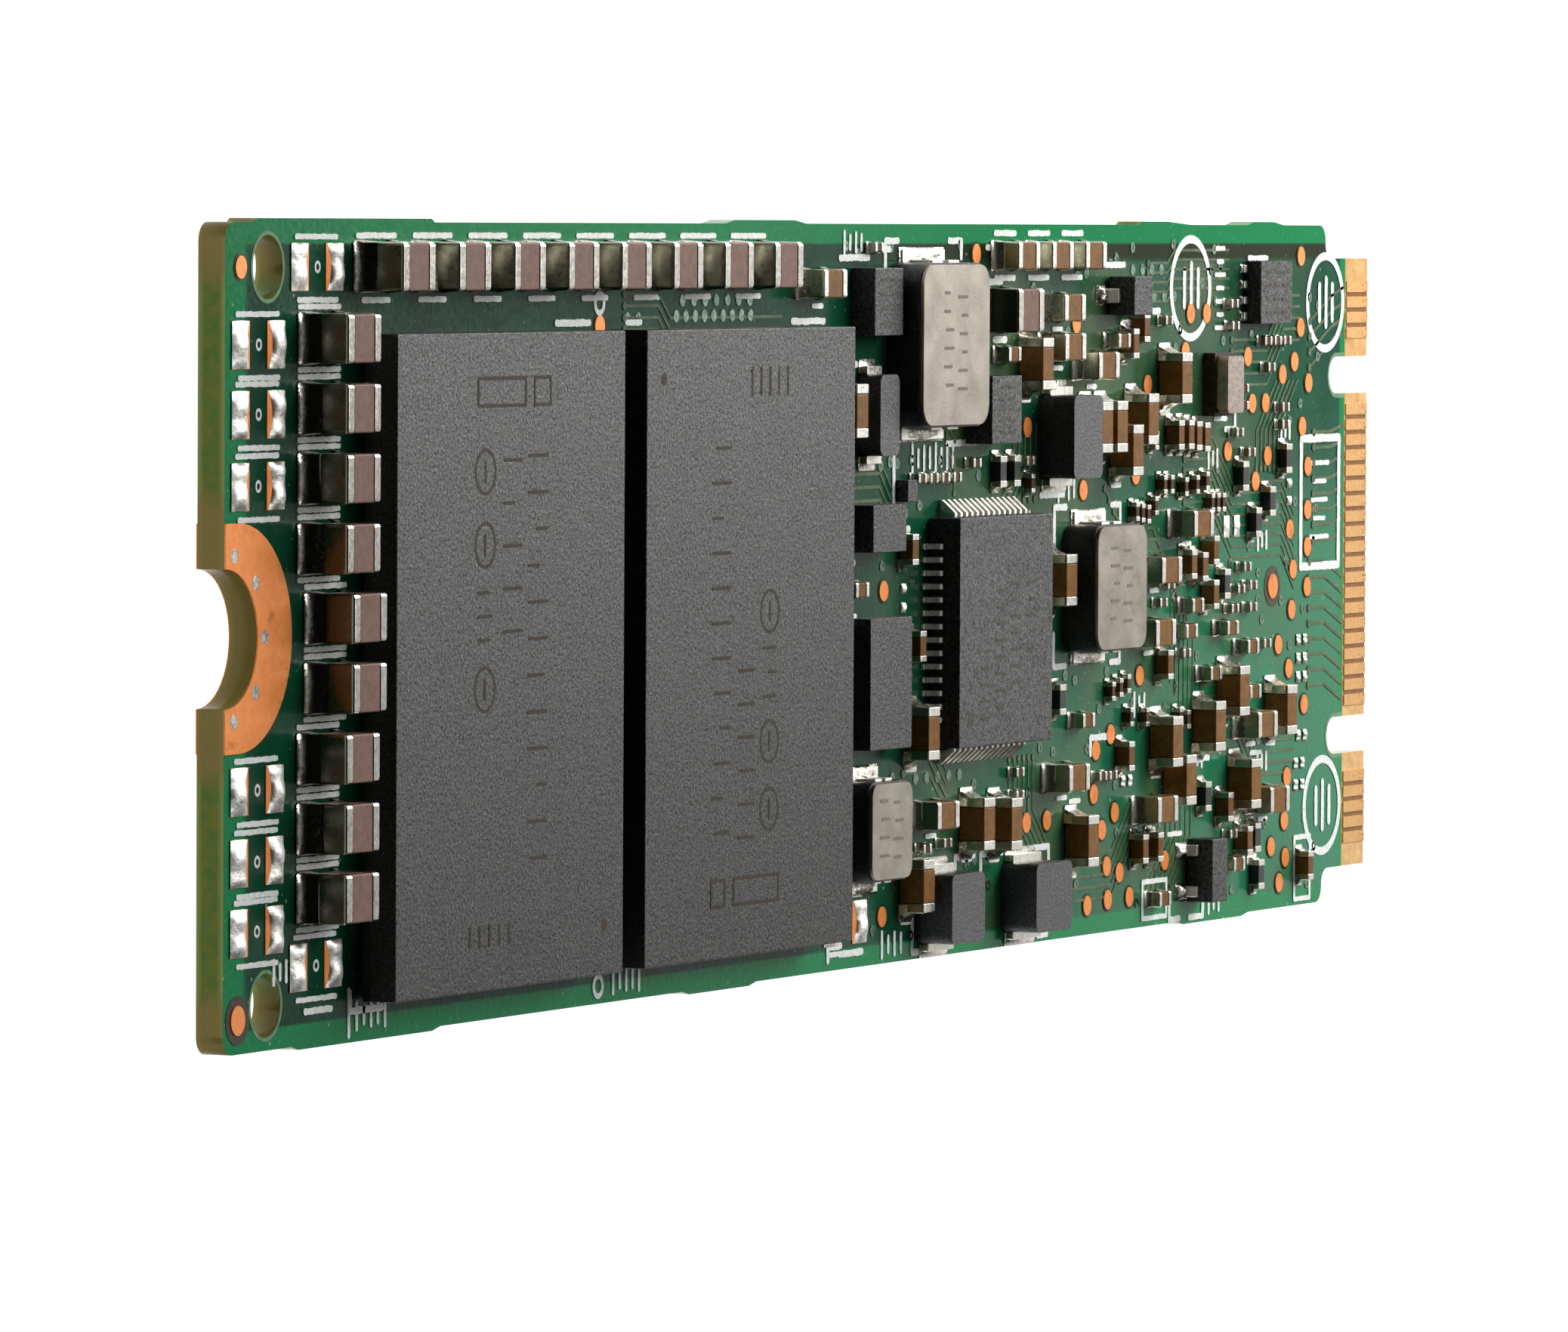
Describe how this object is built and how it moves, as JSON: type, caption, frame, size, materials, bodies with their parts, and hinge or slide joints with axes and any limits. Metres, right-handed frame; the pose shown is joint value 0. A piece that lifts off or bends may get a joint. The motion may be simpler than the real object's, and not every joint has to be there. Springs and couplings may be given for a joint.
{
  "type": "solid state drive",
  "caption": "Bare circuit-board solid state drive, 22 by 80 mm, with a two-key edge connector, a half-round screw notch, memory packages and power parts on both faces.",
  "frame": {"origin": "centre of the half-round screw notch, on the underside of the board", "axes": "+X from the screw notch to the edge contacts, +Z out of the component face with the power parts, +Y across the board towards the short group of four contacts"},
  "size_m": [0.08, 0.0222, 0.0035],
  "materials": {
    "laminate": "satin solder mask over glass-epoxy laminate",
    "copper": "bare copper with a clear organic finish",
    "gold_contact": "gold plated contact",
    "tin": "bright tin solder",
    "mould": "matt moulding compound with fine filler speckle",
    "substrate": "package substrate",
    "ceramic_purple": "fired ceramic, matt",
    "ceramic_tan": "fired ceramic, satin",
    "ceramic_brown": "fired ceramic, satin",
    "resistor_black": "black coating",
    "inductor_black": "pressed ferrite composite",
    "inductor_lid": "pale silver coating",
    "ferrite": "ground ferrite",
    "oscillator_ceramic": "ceramic base",
    "oscillator_lid": "nickel plated lid"
  },
  "bodies": {
    "root": {"circuit_board": "laminate", "mount_pad_front": "copper", "mount_pad_back": "copper", "mount_pad_vias": "tin", "edge_contacts_front": "gold_contact", "edge_contacts_back": "gold_contact", "flash_package_1": "mould", "flash_package_2": "mould", "flash_package_3": "mould", "flash_package_4": "mould", "flash_substrates": "substrate", "flash_balls_front": "tin", "flash_balls_back": "tin", "controller_package": "mould", "controller_substrate": "substrate", "controller_balls": "tin", "working_memory_package": "mould", "working_memory_balls": "tin", "holdup_capacitor_bodies": "ceramic_purple", "holdup_capacitor_terminals": "tin", "chip_capacitor_bodies": "ceramic_tan", "chip_capacitor_terminals": "tin", "small_capacitor_bodies": "ceramic_tan", "small_capacitor_terminals": "tin", "tiny_capacitor_bodies": "ceramic_brown", "tiny_capacitor_terminals": "tin", "resistor_bodies": "resistor_black", "resistor_terminals": "tin", "power_chip_body": "mould", "power_chip_lead_set": "tin", "large_inductor_core": "inductor_black", "middle_inductor_core": "inductor_black", "small_inductor_core": "inductor_black", "inductor_lids": "inductor_lid", "inductor_terminals": "tin", "ferrite_inductor_bodies": "ferrite", "ferrite_inductor_terminals": "tin", "load_switch_chip": "mould", "regulator_chip": "mould", "sense_chip": "mould", "gate_driver_chip": "mould", "logic_chip": "mould", "serial_memory_chip": "mould", "serial_memory_leads": "tin", "transistor_bodies": "resistor_black", "transistor_leads": "tin", "oscillator_base": "oscillator_ceramic", "oscillator_lid": "oscillator_lid", "test_points_front": "copper", "test_points_back": "copper", "fiducials": "copper", "spare_pads": "tin", "plated_vias": "tin", "back_capacitor_bodies": "ceramic_tan", "back_capacitor_terminals": "tin", "back_resistor_bodies": "resistor_black", "back_resistor_terminals": "tin", "back_regulator_chip": "mould"}
  },
  "joints": []
}
